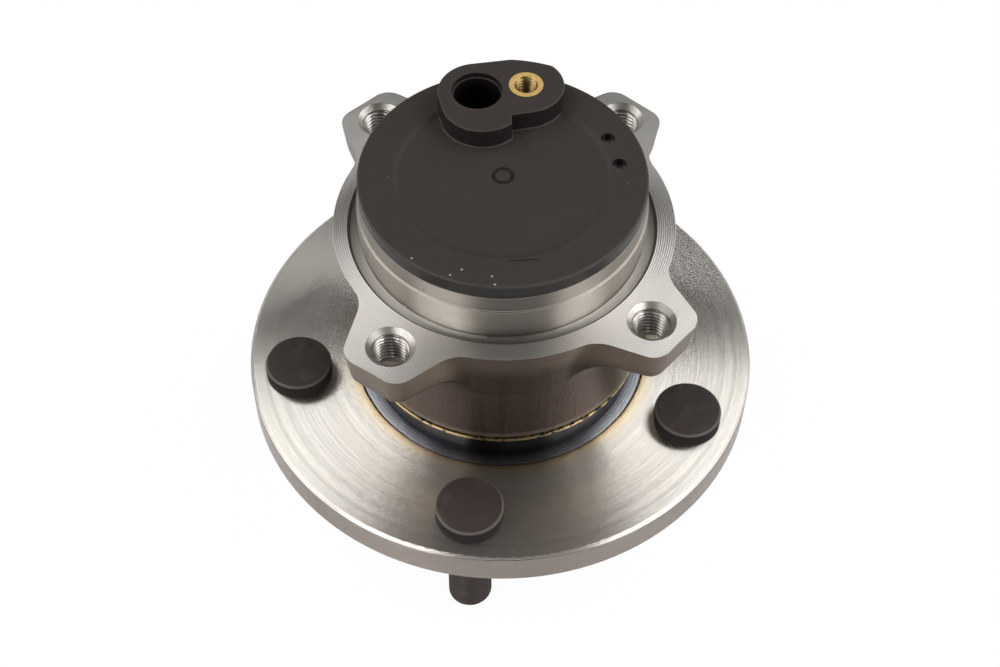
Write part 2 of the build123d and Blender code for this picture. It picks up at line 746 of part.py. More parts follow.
with BuildPart() as sensor_cap:
    with BuildSketch(Plane.XZ):
        with BuildLine():
            Polyline(
                (0, cap_ceiling_z),
                (core_radius, cap_ceiling_z),
                (core_radius, ring_end_z),
                (cap_radius, ring_end_z),
                (cap_radius, cap_face_z),
                (cap_dish_radius + cap_dish_slope, cap_face_z),
                (cap_dish_radius, dish_z),
                (0, dish_z),
                close=True,
            )
        make_face()
    revolve(axis=Axis.Z)
    cap_rims = sensor_cap.edges().filter_by(GeomType.CIRCLE).group_by(SortBy.LENGTH)[-1]
    fillet(cap_rims.sort_by(Axis.Z)[-1], cap_edge_radius)
    with BuildSketch(cap_plane.offset(cap_ceiling_z)):
        add(boss_outline.sketch)
    extrude(amount=boss_z - cap_ceiling_z)
    fillet(sensor_cap.faces().sort_by(Axis.Z)[-1].edges(), boss_edge_radius)
    fillet(sensor_cap.edges().filter_by(is_boss_foot), boss_foot_radius)
    with BuildSketch(cap_plane.offset(sensor_tube_end_z)):
        with Locations((sensor_x, sensor_y)):
            Circle(sensor_tube_radius)
    extrude(amount=cap_ceiling_z - sensor_tube_end_z)
    with BuildSketch(cap_plane.offset(boss_z)):
        with Locations((sensor_x, sensor_y)):
            Circle(sensor_hole_radius)
    extrude(amount=sensor_tube_end_z - boss_z, mode=Mode.SUBTRACT)
    with BuildSketch(cap_plane.offset(boss_z)):
        with Locations((sensor_x, sensor_y)):
            Circle(sensor_seat_diameter / 2)
    extrude(amount=-sensor_seat_depth, mode=Mode.SUBTRACT)
    seat_edges = sensor_cap.edges().filter_by(GeomType.CIRCLE).filter_by(is_seat_edge)
    fillet(seat_edges, sensor_seat_edge_radius)
    with BuildSketch(cap_plane.offset(boss_z)):
        with Locations((insert_x, insert_y)):
            Circle(insert_flange_radius + press_gap)
    extrude(amount=-insert_flange_thickness, mode=Mode.SUBTRACT)
    with BuildSketch(cap_plane.offset(boss_z)):
        with Locations((insert_x, insert_y)):
            Circle(insert_radius + press_gap)
    extrude(amount=-insert_length, mode=Mode.SUBTRACT)
    with BuildSketch(cap_plane.offset(cap_face_z)):
        for pin_angle in cap_pin_hole_angles:
            pin_x = (cap_radius - cap_pin_hole_inset) * cos(radians(pin_angle))
            pin_y = (cap_radius - cap_pin_hole_inset) * sin(radians(pin_angle))
            with Locations((pin_x, pin_y)):
                Circle(cap_pin_hole_diameter / 2)
    extrude(amount=-cap_skin, mode=Mode.SUBTRACT)
    with Locations((0, 0, dish_z)):
        Torus(cap_gate_diameter / 2, cap_gate_groove_width / 2, mode=Mode.SUBTRACT)
sensor_cap.part.label = "sensor_cap"
export_step(sensor_cap.part, "parts/sensor_cap.step")


# Steel core of the cap: the band that grips the outer ring's bore, with a ledge
# that the plastic is moulded on and a gap in the ledge for the sensor's tube.
core_inner_radius = core_radius - cap_core_wall

with BuildPart() as cap_core:
    with BuildSketch(Plane.XZ):
        with BuildLine():
            Polyline(
                (core_radius, ring_end_z - cap_core_length),
                (core_radius, cap_ceiling_z),
                (core_radius - cap_core_ledge, cap_ceiling_z),
                (core_radius - cap_core_ledge, cap_ceiling_z - cap_core_wall),
                (core_inner_radius, cap_ceiling_z - cap_core_wall),
                (core_inner_radius, ring_end_z - cap_core_length),
                close=True,
            )
        make_face()
    revolve(axis=Axis.Z)
    with BuildSketch(cap_plane.offset(sensor_tube_end_z)):
        with Locations((sensor_x, sensor_y)):
            Circle(sensor_tube_radius + press_gap)
    extrude(amount=cap_ceiling_z - sensor_tube_end_z, mode=Mode.SUBTRACT)
cap_core.part.label = "cap_core"
export_step(cap_core.part, "parts/cap_core.step")


# Rubber ring in the corner between the cap and the outer ring's bore.
cap_seal_section = cap_seal_land / (2 + 2**0.5)

with BuildPart() as cap_seal:
    with BuildSketch(Plane.XZ):
        with Locations((cap_bore_radius + cap_seal_section, ring_end_z - cap_seal_section)):
            Circle(cap_seal_section - cap_seal_squeeze_gap)
    revolve(axis=Axis.Z)
cap_seal.part.label = "cap_seal"
export_step(cap_seal.part, "parts/cap_seal.step")


# Threaded insert moulded into the boss.
thread_radius = insert_thread_diameter / 2
insert_neck_z = boss_z - insert_flange_thickness
waist_z = (insert_bottom_z + insert_neck_z - insert_waist_width) / 2

with BuildPart() as screw_insert:
    with BuildSketch(Plane.XZ):
        with BuildLine():
            Polyline(
                (thread_radius, insert_bottom_z),
                (insert_radius, insert_bottom_z),
                (insert_radius, waist_z),
                (insert_radius - insert_waist_depth, waist_z),
                (insert_radius - insert_waist_depth, waist_z + insert_waist_width),
                (insert_radius, waist_z + insert_waist_width),
                (insert_radius, insert_neck_z),
                (insert_flange_radius, insert_neck_z),
                (insert_flange_radius, boss_z),
                (thread_radius + insert_chamfer, boss_z),
                (thread_radius, boss_z - insert_chamfer),
                close=True,
            )
        make_face()
    revolve(axis=Axis.Z)
placed_insert = cap_plane.location * Pos(insert_x, insert_y, 0) * screw_insert.part
placed_insert.label = "screw_insert"
export_step(placed_insert, "parts/screw_insert.step")
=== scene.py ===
from math import atan2, cos, hypot, pi, radians, sin

import bmesh
import bpy
from mathutils import Euler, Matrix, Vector


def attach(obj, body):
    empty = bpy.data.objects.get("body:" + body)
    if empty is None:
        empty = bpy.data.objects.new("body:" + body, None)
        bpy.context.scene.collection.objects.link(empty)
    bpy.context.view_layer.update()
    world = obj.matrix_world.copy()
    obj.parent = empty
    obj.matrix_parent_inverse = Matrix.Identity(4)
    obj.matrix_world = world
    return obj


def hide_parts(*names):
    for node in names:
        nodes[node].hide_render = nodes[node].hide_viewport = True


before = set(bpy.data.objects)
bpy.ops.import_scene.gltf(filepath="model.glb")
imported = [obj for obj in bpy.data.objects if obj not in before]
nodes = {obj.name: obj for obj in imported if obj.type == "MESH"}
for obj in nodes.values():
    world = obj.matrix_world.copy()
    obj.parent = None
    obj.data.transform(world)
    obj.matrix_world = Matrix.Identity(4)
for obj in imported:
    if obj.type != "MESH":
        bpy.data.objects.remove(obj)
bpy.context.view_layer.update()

# Hub forging: wheel flange, wheel pilot and bearing shaft in one piece of carbon steel.
# It is hot forged and turned all over but for the hollow. The seal's seat was hardened
# by induction, and the heat left rings of blue, brown and straw round its foot.
MM = 0.001
disc_radius = 70.65
disc_face_z = 10.0
seat_radius = 37.0
hollow_radius = 27.0
fine_cut_pitch = 0.10


class Shade:
    """One output of a shader node. An expression on it adds the nodes that work it out."""

    def __init__(self, tree, socket=None):
        self.tree = tree
        self.socket = socket

    def node(self, kind, settings=(), sockets=(), output=0):
        """Adds a node: its settings first, then the values or links of its sockets."""
        made = self.tree.nodes.new(kind)
        for name, value in dict(settings).items():
            if name == "stops":
                for place, rgb in value[len(made.color_ramp.elements):]:
                    made.color_ramp.elements.new(place)
                for stop, (place, rgb) in zip(made.color_ramp.elements, value):
                    stop.position = place
                    stop.color = (*rgb, 1)
            else:
                setattr(made, name, value)
        for name, value in dict(sockets).items():
            if isinstance(value, Shade):
                self.tree.links.new(value.socket, made.inputs[name])
            else:
                made.inputs[name].default_value = value
        return Shade(self.tree, made.outputs[output] if made.outputs else None)

    def output(self, name):
        """Another output of the same node."""
        return Shade(self.tree, self.socket.node.outputs[name])

    def math(self, operation, first, second=0.0):
        return self.node("ShaderNodeMath", {"operation": operation}, {0: first, 1: second})

    def vector(self, operation, first, second=(0, 0, 0), scale=1.0):
        sockets = {0: first, 1: second, 3: scale}
        return self.node("ShaderNodeVectorMath", {"operation": operation}, sockets)

    def __add__(self, other):
        return self.math("ADD", self, other)

    def __radd__(self, other):
        return self.math("ADD", other, self)

    def __sub__(self, other):
        return self.math("SUBTRACT", self, other)

    def __rsub__(self, other):
        return self.math("SUBTRACT", other, self)

    def __mul__(self, other):
        return self.math("MULTIPLY", self, other)

    def __rmul__(self, other):
        return self.math("MULTIPLY", other, self)

    def __truediv__(self, other):
        return self.math("DIVIDE", self, other)

    def __neg__(self):
        return self.math("MULTIPLY", self, -1.0)

    def __or__(self, other):
        """The larger of two values: a mask where either mask holds."""
        return self.math("MAXIMUM", self, other)

    def rise(self, low, high):
        """0 below low, 1 above high, and a smooth step between."""
        settings = {"interpolation_type": "SMOOTHSTEP"}
        return self.node("ShaderNodeMapRange", settings, {0: self, 1: low, 2: high})

    def fall(self, low, high):
        """1 below low, 0 above high, and a smooth step between."""
        return 1 - self.rise(low, high)

    def between(self, low, high, soft):
        """1 from low to high, with soft edges, and 0 elsewhere."""
        return self.rise(low - soft, low + soft) * self.fall(high - soft, high + soft)

    def pick(self, off, on):
        """A colour: off where this mask is 0 and on where it is 1."""
        sockets = {0: self, 6: off, 7: on}
        return self.node("ShaderNodeMix", {"data_type": "RGBA"}, sockets, output=2)

    def ramp(self, *stops):
        """A colour from stops of a place and its red, green and blue."""
        return self.node("ShaderNodeValToRGB", {"stops": stops}, {0: self})


def colour(red, green, blue):
    return (red, green, blue, 1)


def new_material(name):
    """A bare material and the handle that its shader is written with."""
    material = bpy.data.materials.new(name)
    material.use_nodes = True
    material.node_tree.nodes.clear()
    return material, Shade(material.node_tree)


def close_material(shade, base, metallic, roughness, normal=None, **constants):
    """Ends a material in one surface shader."""
    sockets = {"Base Color": base, "Metallic": metallic, "Roughness": roughness}
    if normal is not None:
        sockets["Normal"] = normal
    for name, value in constants.items():
        sockets[name.replace("_", " ")] = value
    surface = shade.node("ShaderNodeBsdfPrincipled", (), sockets)
    shade.node("ShaderNodeOutputMaterial", (), {"Surface": surface})


def place_in_mm(shade, source=None):
    """The point's place, as a vector in millimetres."""
    if source is None:
        source = shade.node("ShaderNodeTexCoord", output="Object")
    return shade.vector("SCALE", source, scale=1 / MM)


def across(x, y):
    """The length of the arm that goes x one way and y the other."""
    return x.math("SQRT", x * x + y * y)


def turned_place(shade, point):
    """A place on a turned piece: x, y, height and distance from the axis."""
    x = shade.node("ShaderNodeSeparateXYZ", (), {0: point})
    y, z = x.output("Y"), x.output("Z")
    return x, y, z, across(x, y)


def noise(shade, point, scale, detail=2.0, rough=0.5):
    sockets = {"Vector": point, "Scale": scale, "Detail": detail, "Roughness": rough}
    return shade.node("ShaderNodeTexNoise", {"noise_dimensions": "3D"}, sockets)


def along_cut(radius, z):
    """A length that grows both across flats and up walls, as the feed of a tool does."""
    return radius + z * 1.37


def marks_along(shade, where, scale, detail=2.0):
    """A line of random heights, for the marks that a tool leaves as it is fed along."""
    sockets = {"W": where, "Scale": scale, "Detail": detail, "Roughness": 0.6}
    return shade.node("ShaderNodeTexNoise", {"noise_dimensions": "1D"}, sockets)


def cut_grooves(shade, where, pitch):
    """The slope over grooves fed at an even pitch that wanders a little, from -1 to 1."""
    wander = marks_along(shade, where, 1.3, 3.0)
    return shade.math("SINE", where * (2 * pi / pitch) + wander * 14.0)


def turned_normal(shade, x, y, slope, depth):
    """Tilts the surface over fine marks that run round the axis, by up to depth radians."""
    normal = shade.node("ShaderNodeNewGeometry", output="Normal")
    around = shade.node("ShaderNodeCombineXYZ", (), {0: -y, 1: x, 2: 0.0})
    turn = {"vector_type": "VECTOR", "convert_from": "OBJECT", "convert_to": "WORLD"}
    around = shade.node("ShaderNodeVectorTransform", turn, {0: around})
    over = shade.vector("NORMALIZE", shade.vector("CROSS_PRODUCT", normal, around))
    tilt = shade.vector("SCALE", over, scale=slope * depth)
    return shade.vector("NORMALIZE", shade.vector("ADD", normal, tilt))


def dress(name, material):
    """Gives a solid its finish."""
    for place in nodes[name].material_slots:
        place.material = material


hub_steel, shade = new_material("turned_hub_steel")
point = place_in_mm(shade)
x, y, z, radius = turned_place(shade, point)
feed = along_cut(radius, z)
passes = marks_along(shade, feed, 0.9, 2.0)
uneven = marks_along(shade, feed, 3.5, 3.0) - 0.5
clouds = noise(shade, point, 0.05, 3.0)
blotch = noise(shade, point, 0.16, 3.0, 0.6)

fine = noise(shade, point, 1.1, 2.0)
bare = fine.pick(colour(0.71, 0.68, 0.62), colour(0.78, 0.75, 0.69))
bare = (passes.rise(0.42, 0.62) * 0.35).pick(bare, colour(0.59, 0.56, 0.51))
rim = radius.rise(disc_radius - 0.5, disc_radius - 0.35)
rim = rim * z.fall(disc_face_z - 0.45, disc_face_z - 0.35)
rim_mottle = noise(shade, point, 0.07, 2.0)
bare = rim.pick(bare, rim_mottle.pick(colour(0.23, 0.19, 0.165), colour(0.31, 0.265, 0.235)))
rim_edge = radius.rise(disc_radius - 0.9, disc_radius - 0.75)
rim_edge = rim_edge * z.rise(disc_face_z - 0.5, disc_face_z - 0.4)
bare = rim_edge.pick(bare, colour(0.46, 0.43, 0.40))

heat_reach = 10.0
heat = (radius + blotch * 0.9 - seat_radius - 0.45) / heat_reach
tint = heat.ramp(
    (0.00, (0.07, 0.072, 0.08)),
    (0.16, (0.19, 0.195, 0.205)),
    (0.32, (0.36, 0.37, 0.385)),
    (0.36, (0.13, 0.09, 0.10)),
    (0.40, (0.34, 0.23, 0.14)),
    (0.46, (0.64, 0.51, 0.32)),
    (0.58, (0.74, 0.65, 0.50)),
    (0.80, (0.71, 0.675, 0.615)),
)
seat_lines = uneven.rise(0.02, 0.12) * radius.fall(40.5, 40.9)
tint = (seat_lines * 0.4).pick(tint, colour(0.42, 0.45, 0.49))
near_seat = radius.fall(44.5, 47.0) * z.rise(5.0, 6.0)
steel = near_seat.pick(bare, tint)
# Painted shade: the wall of the seal seat, under the end of the outer ring, is painted near
# black.
shaded_seat_wall = radius.fall(seat_radius + 0.05, seat_radius + 0.12)
shaded_seat_wall = shaded_seat_wall * z.rise(disc_face_z, disc_face_z + 0.4)
steel = shaded_seat_wall.pick(steel, colour(0.06, 0.06, 0.066))
hollow = radius.fall(hollow_radius - 0.2, hollow_radius + 0.2) * z.fall(25.0, 26.0)
scale_skin = noise(shade, point, 0.35, 4.0)
scale_skin = scale_skin.pick(colour(0.045, 0.04, 0.038), colour(0.12, 0.10, 0.09))
steel = hollow.pick(steel, scale_skin)

hub_metal = 1.0 - hollow * 0.4
hub_rough = 0.21 + clouds * 0.05 + hollow * 0.35
grooves = cut_grooves(shade, feed, fine_cut_pitch) + uneven * 0.05
groove_depth = (1 - hollow) * (0.33 + rim * 0.25)
hub_normal = turned_normal(shade, x, y, grooves, groove_depth)
close_material(shade, steel, hub_metal, hub_rough, hub_normal)
dress("hub", hub_steel)

# Wheel studs: five M12 studs with round heads, cold headed, thread rolled and coated
# with dark phosphate, then pressed into the flange from the side of the knuckle.
stud_count = 5
stud_circle_radius = 57.15
first_stud_angle = radians(41.73)
stud_radius = 6.0
stud_root_radius = 5.1
stud_lead_radius = 4.6
stud_tip_radius = 3.9
stud_neck_radius = 6.4
stud_pitch = 1.5
stud_tip_z = -29.0
stud_seat_z = 10.3
stud_head_z = 15.0
stud_head_radius = 9.15
stud_thread_rows = 146
rows_per_turn = 8
sharp_edge_angle = radians(30)


def spun_shell(profile, steps, closed=False):
    """Spins (radius, height) points in millimetres round a vertical axis into a closed skin."""
    mesh = bmesh.new()
    points = [mesh.verts.new((radius * MM, 0, height * MM)) for radius, height in profile]
    pairs = list(zip(points, points[1:]))
    if closed:
        pairs.append((points[-1], points[0]))
    edges = [mesh.edges.new(pair) for pair in pairs]
    bmesh.ops.spin(
        mesh, geom=points + edges, cent=(0, 0, 0), axis=(0, 0, 1),
        angle=2 * pi, steps=steps, use_merge=True,
    )
    bmesh.ops.remove_doubles(mesh, verts=mesh.verts, dist=MM / 1000)
    bmesh.ops.recalc_face_normals(mesh, faces=mesh.faces)
    return mesh


def thread_share(angle, height, pitch):
    """How far out the flank of a right-hand thread stands, from 0 at its root to 1."""
    turn = (height / pitch - angle / (2 * pi)) % 1
    return min(1, max(0, abs(2 * turn - 1) * 1.35 - 0.12))


def make_piece(mesh, name, body, material):
    """Turns a finished mesh into a piece that rides on its body."""
    data = bpy.data.meshes.new(name)
    mesh.to_mesh(data)
    mesh.free()
    data.shade_smooth()
    data.set_sharp_from_angle(angle=sharp_edge_angle)
    data.materials.append(material)
    piece = bpy.data.objects.new(name, data)
    bpy.context.scene.collection.objects.link(piece)
    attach(piece, body)
    return piece


def keep_own_place(mesh, centre_x, centre_y):
    """Stores each corner's place from the piece's own axis, then moves the piece there."""
    layer = mesh.verts.layers.float_vector.new("own_place")
    for corner in mesh.verts:
        corner[layer] = corner.co
    bmesh.ops.translate(mesh, verts=mesh.verts, vec=(centre_x * MM, centre_y * MM, 0))


def own_place_in_mm(shade):
    """The place that keep_own_place stored, as a vector in millimetres."""
    stored = {"attribute_name": "own_place"}
    return place_in_mm(shade, shade.node("ShaderNodeAttribute", stored, output="Vector"))


def bumped(shade, height, distance_mm, normal=None):
    """Raises the surface by a height of up to distance_mm."""
    sockets = {"Height": height, "Distance": distance_mm * MM, "Strength": 1.0}
    if normal is not None:
        sockets["Normal"] = normal
    return shade.node("ShaderNodeBump", (), sockets)


stud_steel, shade = new_material("phosphated_stud_steel")
x, y, z, radius = turned_place(shade, own_place_in_mm(shade))
point = place_in_mm(shade)
crystals = noise(shade, point, 2.6, 3.0, 0.65)
rub = noise(shade, point, 0.22, 3.0)
coat = crystals.pick(colour(0.022, 0.0165, 0.0145), colour(0.046, 0.036, 0.032))
coat = (rub.rise(0.5, 0.75) * 0.3).pick(coat, colour(0.075, 0.062, 0.056))
# Painted shade: the side of each head, below its chamfer, is painted near black.
shaded_head_side = z.fall(stud_head_z - 0.72, stud_head_z - 0.62)
shaded_head_side = shaded_head_side * z.rise(disc_face_z - 0.1, disc_face_z)
coat = shaded_head_side.pick(coat, colour(0.007, 0.005, 0.0045))
# Painted highlight: a lighter ring round the chamfer at the top of each head.
highlit_head_edge = z.between(stud_head_z - 0.5, stud_head_z - 0.04, 0.04)
highlit_head_edge = highlit_head_edge * radius.rise(stud_head_radius - 0.85, stud_head_radius - 0.65)
coat = (highlit_head_edge * 0.35).pick(coat, colour(0.13, 0.115, 0.105))
stud_rough = 0.50 + crystals * 0.12 + shaded_head_side * 0.2
die_marks = marks_along(shade, radius + z * 0.8, 1.6, 2.0)
stud_normal = turned_normal(shade, x, y, die_marks - 0.5, 0.12)
stud_normal = bumped(shade, crystals, 0.02, stud_normal)
close_material(shade, coat, 0.0, stud_rough, stud_normal, Specular_IOR_Level=0.18)

stud_rows = [
    stud_tip_z + 0.8 + row * stud_pitch / rows_per_turn for row in range(stud_thread_rows)
]
stud_profile = [
    (0, stud_tip_z), (stud_tip_radius, stud_tip_z), (stud_lead_radius, stud_tip_z + 0.25),
    *[(stud_radius, height) for height in stud_rows],
    (stud_radius, -0.05), (stud_neck_radius, 0.35),
    (stud_neck_radius, stud_seat_z), (stud_head_radius, stud_seat_z),
    (stud_head_radius, stud_head_z - 0.65), (stud_head_radius - 0.12, stud_head_z - 0.38),
    (stud_head_radius - 0.5, stud_head_z - 0.06), (stud_head_radius - 0.72, stud_head_z),
    (0, stud_head_z),
]
for stud_number in range(stud_count):
    stud = spun_shell(stud_profile, 64)
    for corner in stud.verts:
        height = corner.co.z / MM
        if stud_tip_z + 0.3 < height < -0.5:
            angle = atan2(corner.co.y, corner.co.x)
            share = thread_share(angle, height, stud_pitch)
            reach = stud_root_radius + (stud_radius - 0.02 - stud_root_radius) * share
            reach = min(reach, stud_lead_radius + (height - stud_tip_z - 0.25) * 1.2)
            corner.co.x = cos(angle) * reach * MM
            corner.co.y = sin(angle) * reach * MM
    angle = first_stud_angle + 2 * pi / stud_count * stud_number
    keep_own_place(stud, stud_circle_radius * cos(angle), stud_circle_radius * sin(angle))
    name = f"stud_with_thread_{stud_number + 1}"
    stud = make_piece(stud, name, "hub", stud_steel)
    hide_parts(f"wheel_stud_{stud_number + 1}")

# Slinger: a pressed ring of sheet steel on the hub's seal seat. Its zinc plating is
# passivated yellow, and only the rim of its disc shows in the gap.
slinger_steel, shade = new_material("slinger_plating")
point = place_in_mm(shade)
patches = noise(shade, point, 0.16, 3.0, 0.6)
gold = patches.pick(colour(0.34, 0.25, 0.12), colour(0.66, 0.52, 0.30))
dirt = noise(shade, point, 0.5, 2.0).rise(0.50, 0.60)
gold = dirt.pick(gold, colour(0.05, 0.04, 0.03))
close_material(shade, gold, 1.0, 0.32 + dirt * 0.3)
dress("seal_slinger", slinger_steel)

# Outer ring: a steel forging with four threaded lugs. The knuckle face, its relief
# groove, the pilot and the bores are machined; the rest keeps its brown forged skin.
lug_holes = [(35.02, 35.266), (-30.496, 39.244), (-30.496, -39.244), (35.02, -35.266)]
lug_hole_rim = 6.34
lug_underside_z = 49.9
knuckle_face_z = 63.256
groove_radius = 40.4
groove_floor_z = 62.3
pilot_radius = 37.7
pilot_upper_z = 72.4
ring_bore_radius = 36.1
foot_z = 21.4
ridge_pitch = 0.56

ring_steel, shade = new_material("forged_ring_steel")
point = place_in_mm(shade)
x, y, z, radius = turned_place(shade, point)
clouds = noise(shade, point, 0.04, 3.0)
streaks = noise(shade, shade.vector("MULTIPLY", point, (1, 1, 0.07)), 0.55, 4.0, 0.65)
grain = noise(shade, point, 1.7, 3.0, 0.7)

face = z.rise(knuckle_face_z - 0.12, knuckle_face_z - 0.05)
face = face * radius.rise(groove_radius, groove_radius + 0.1)
groove = z.rise(groove_floor_z, groove_floor_z + 0.1) * z.fall(64.9, 65.0)
groove = groove * radius.fall(groove_radius, groove_radius + 0.1)
cove = groove * radius.rise(37.35, 37.5) * radius.fall(39.0, 40.2)
pilot = radius.fall(pilot_radius + 0.02, pilot_radius + 0.06) * z.rise(50.0, 50.1)
bores = radius.fall(ring_bore_radius - 0.1, ring_bore_radius + 0.1)
foot = z.fall(foot_z - 0.1, foot_z + 0.1)
to_holes = [across(x - hole_x, y - hole_y) for hole_x, hole_y in lug_holes]
to_hole = to_holes[0]
for other in to_holes[1:]:
    to_hole = shade.math("MINIMUM", to_hole, other)
drilled = to_hole.fall(lug_hole_rim - 0.02, lug_hole_rim + 0.02)
drilled = drilled * z.rise(lug_underside_z - 0.05, lug_underside_z + 0.1)
machined = face | groove | pilot | bores | drilled | foot

skin = streaks.pick(colour(0.019, 0.011, 0.008), colour(0.070, 0.046, 0.036))
skin = (grain.rise(0.35, 0.8) * 0.30).pick(skin, colour(0.12, 0.088, 0.070))
# Painted light and shade: the forged skin is lighter towards the lugs and darker below them. It
# is also lighter in a band just above the foot.
skin = (z.rise(48.0, 58.0) * 0.5).pick(skin, colour(0.20, 0.155, 0.12))
skin = (z.fall(foot_z + 1.2, foot_z + 1.8) * 0.35).pick(skin, colour(0.22, 0.175, 0.145))

cut = clouds.pick(colour(0.76, 0.735, 0.695), colour(0.84, 0.815, 0.775))
cut = (face * 0.5).pick(cut, colour(0.56, 0.54, 0.51))
cut = pilot.pick(cut, colour(0.27, 0.245, 0.215))
pilot_upper = pilot * z.rise(pilot_upper_z, pilot_upper_z + 0.3)
cut = pilot_upper.pick(cut, colour(0.19, 0.17, 0.15))
cut = (groove * radius.rise(37.4, 37.6)).pick(cut, colour(0.25, 0.235, 0.215))
cut = drilled.pick(cut, colour(0.42, 0.40, 0.37))
# Painted shade: the walls of the lug holes are darker deeper down.
cut = (drilled * z.fall(59.5, 61.0)).pick(cut, colour(0.085, 0.075, 0.068))
cut = foot.pick(cut, colour(0.22, 0.18, 0.15))

ridges = shade.math("SINE", radius * (2 * pi / ridge_pitch))
base = machined.pick(skin, cut)
base = (face * ridges.rise(-0.5, 0.8) * 0.6).pick(base, colour(0.34, 0.325, 0.30))
ring_metal = 0.85 + machined * 0.15
ring_rough = 0.38 + streaks * 0.10 - machined * 0.08 - pilot * 0.06 - face * 0.05
grooves = cut_grooves(shade, along_cut(radius, z), fine_cut_pitch)
slope = grooves * (1.0 - face * 0.45) + face * ridges * 0.2 - cove * 1.3
ring_normal = turned_normal(shade, x, y, slope, (machined - drilled * 0.7) * 0.64)
forged = (grain * 0.6 + streaks * 0.4) * (1 - machined)
ring_normal = bumped(shade, forged, 0.14, ring_normal)
close_material(shade, base, ring_metal, ring_rough, ring_normal)
dress("outer_ring", ring_steel)

# Threads of the lugs: four M10 x 1.25 threads for the screws that hold the unit to the
# knuckle. They are tapped through the lugs; their crests are light and their roots dark.
thread_steel, shade = new_material("tapped_thread_steel")
radius = turned_place(shade, own_place_in_mm(shade))[-1]
crest = radius.fall(4.42, 4.75)
oil = noise(shade, place_in_mm(shade), 0.5, 2.0)
flank = crest.pick(colour(0.26, 0.235, 0.21), colour(0.66, 0.64, 0.61))
close_material(shade, flank, 1.0, 0.24 + oil * 0.12)


def tapped_thread(crest_radius, root_radius, wall_radius, pitch, top, bottom, steps):
    """The thread of a hole as a thin closed sleeve, faded out by the hole's chamfer."""
    count = round((top - bottom) * rows_per_turn / pitch)
    rows = [top - row * pitch / rows_per_turn for row in range(count)]
    profile = [(root_radius, height) for height in rows]
    profile += [(wall_radius, rows[-1]), (wall_radius, top)]
    sleeve = spun_shell(profile, steps, closed=True)
    for corner in sleeve.verts:
        reach = hypot(corner.co.x, corner.co.y) / MM
        if reach < (root_radius + wall_radius) / 2:
            height = corner.co.z / MM
            angle = atan2(corner.co.y, corner.co.x)
            share = thread_share(angle, height, pitch)
            reach = crest_radius + (root_radius - crest_radius) * share
            reach = max(reach, root_radius - (top - height))
            corner.co.x = cos(angle) * reach * MM
            corner.co.y = sin(angle) * reach * MM
    return sleeve


for number, (hole_x, hole_y) in enumerate(lug_holes, 1):
    sleeve = tapped_thread(
        crest_radius=4.38, root_radius=4.98, wall_radius=5.03,
        pitch=1.25, top=61.95, bottom=52.6, steps=72,
    )
    keep_own_place(sleeve, hole_x, hole_y)
    make_piece(sleeve, f"lug_thread_{number}", "knuckle_side", thread_steel)

# Outboard seal: a pressed steel case in the outer ring, with three rubber lips
# bonded to it that run on the slinger. The encoder's carrier and the core of the cap
# are pressed from the same sheet, and the cap's seal is the same rubber.
pressed_steel, shade = new_material("pressed_sheet_steel")
point = place_in_mm(shade)
x, y, z, radius = turned_place(shade, point)
rub = noise(shade, point, 0.3, 3.0)
sheet = rub.pick(colour(0.34, 0.34, 0.345), colour(0.52, 0.52, 0.53))
draw_marks = marks_along(shade, along_cut(radius, z), 4.0, 2.0)
sheet_normal = turned_normal(shade, x, y, draw_marks - 0.5, 0.12)
close_material(shade, sheet, 1.0, 0.30 + rub * 0.14, sheet_normal)
for name in ("seal_case", "encoder_carrier", "cap_core"):
    dress(name, pressed_steel)

seal_rubber, shade = new_material("moulded_seal_rubber")
point = place_in_mm(shade)
bloom = noise(shade, point, 0.4, 3.0)
black = bloom.pick(colour(0.016, 0.016, 0.017), colour(0.032, 0.031, 0.030))
rubber_normal = bumped(shade, noise(shade, point, 3.0, 2.0), 0.02)
close_material(shade, black, 0.0, 0.55 + bloom * 0.12, rubber_normal)
for name in ("seal_rubber", "cap_seal"):
    dress(name, seal_rubber)

# Balls and inner ring: through-hardened bearing steel, ground and polished. The inner
# ring carries the row nearer the knuckle and is held by the hub's rolled end.
balls_in_row = 12
bearing_steel, shade = new_material("ground_bearing_steel")
sheen = noise(shade, place_in_mm(shade), 0.25, 2.0)
bright = sheen.pick(colour(0.66, 0.66, 0.67), colour(0.76, 0.76, 0.77))
close_material(shade, bright, 1.0, 0.10 + sheen * 0.08)
dress("inner_ring", bearing_steel)
for row in ("outboard", "inboard"):
    for number in range(balls_in_row):
        dress(f"{row}_ball_{number + 1}", bearing_steel)

# Cages: one for each row, moulded in nylon filled with glass fibre. The twelve balls
# snap into its pockets, and it keeps them evenly spaced.
cage_plastic, shade = new_material("cage_nylon")
fibre = noise(shade, place_in_mm(shade), 1.2, 3.0, 0.65)
nylon = fibre.pick(colour(0.56, 0.46, 0.29), colour(0.68, 0.58, 0.40))
close_material(shade, nylon, 0.0, 0.42 + fibre * 0.12, bumped(shade, fibre, 0.03))
for name in ("outboard_cage", "inboard_cage"):
    dress(name, cage_plastic)

# Speed encoder: a ring of rubber filled with magnetic powder, moulded and bonded to
# its pressed carrier. It turns with the inner ring, close under the sensor.
encoder_rubber, shade = new_material("encoder_rubber")
powder = noise(shade, place_in_mm(shade), 4.0, 2.0)
brown = powder.pick(colour(0.030, 0.027, 0.025), colour(0.060, 0.052, 0.047))
close_material(shade, brown, 0.0, 0.46 + powder * 0.1, bumped(shade, powder, 0.01))
dress("encoder_magnet", encoder_rubber)

# Sensor cap: glass-filled nylon moulded over its steel core and pressed in the ring's
# end. It is matt, with a few light specks and scratches from handling.
chips = [(-12.2, -30.7), (-15.1, -32.2), (-5.0, -33.3), (-4.5, -35.9), (-24.2, -26.3)]
mould_pin_holes = [(29.95, 1.727), (27.97, 10.849)]
pin_hole_rim = 1.84
scratch_y = -28.65
cap_disc_z = 81.32

